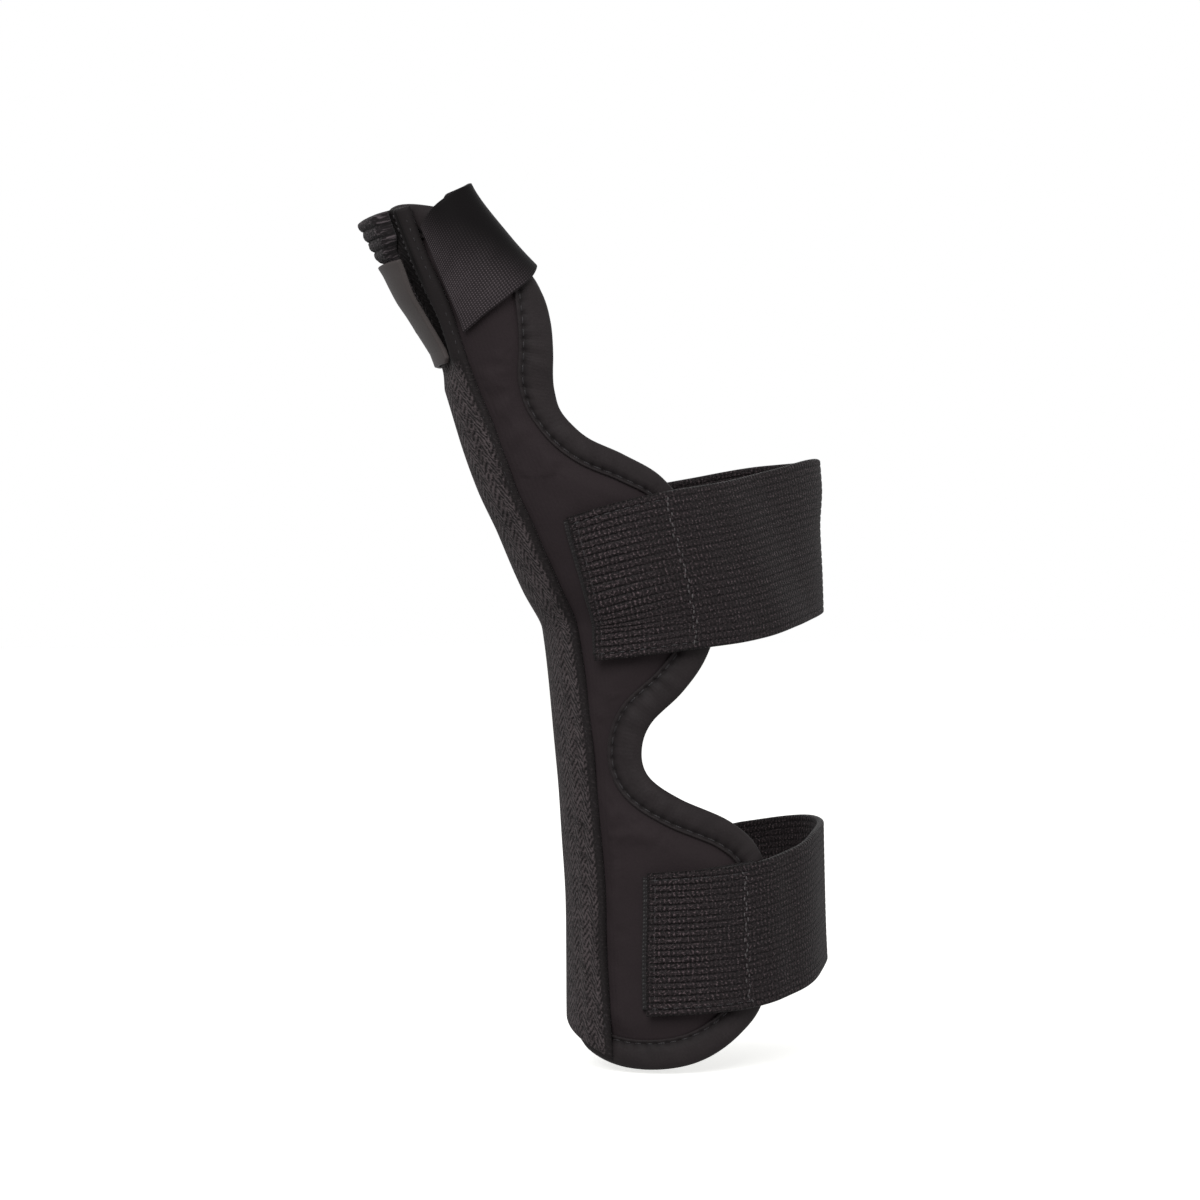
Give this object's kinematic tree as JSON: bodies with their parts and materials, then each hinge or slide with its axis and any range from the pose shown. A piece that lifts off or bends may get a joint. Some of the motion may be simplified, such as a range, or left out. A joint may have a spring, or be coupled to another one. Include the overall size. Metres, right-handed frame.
{
  "type": "thumb spica splint",
  "caption": "Soft wrist and thumb splint: two padded panels joined along the thumb side, bound scalloped edges, elastic straps round the forearm, wrist and thumb.",
  "frame": {"origin": "centre of the hollow at the wrist, between the back and palm side and between the thumb and little-finger side of the forearm", "axes": "+Z along the forearm toward the hand, -X toward the thumb side (the seam), -Y toward the back of the hand"},
  "size_m": [0.121, 0.0584, 0.2075],
  "materials": {
    "panel_fabric": "smooth laminated knit, plum black",
    "binding_fabric": "soft stretch binding, green black",
    "sleeve_webbing": "herringbone twill webbing, black",
    "strap_elastic": "ribbed woven elastic, black",
    "hook_tape": "hook tape, black",
    "thumb_elastic": "fine woven elastic, black",
    "pile_tape": "ribbed loop pile, black",
    "tab_backing": "smooth coated backing, dark grey"
  },
  "bodies": {
    "root": {"dorsal_panel": "panel_fabric", "volar_panel": "panel_fabric", "edge_binding": "binding_fabric", "stay_sleeve": "sleeve_webbing", "wrist_strap": "strap_elastic", "wrist_hook_patch": "hook_tape", "forearm_strap": "strap_elastic", "forearm_hook_patch": "hook_tape", "thumb_strap": "thumb_elastic", "thumb_pile_strip": "pile_tape", "thumb_hook_tab": "tab_backing"}
  },
  "joints": []
}
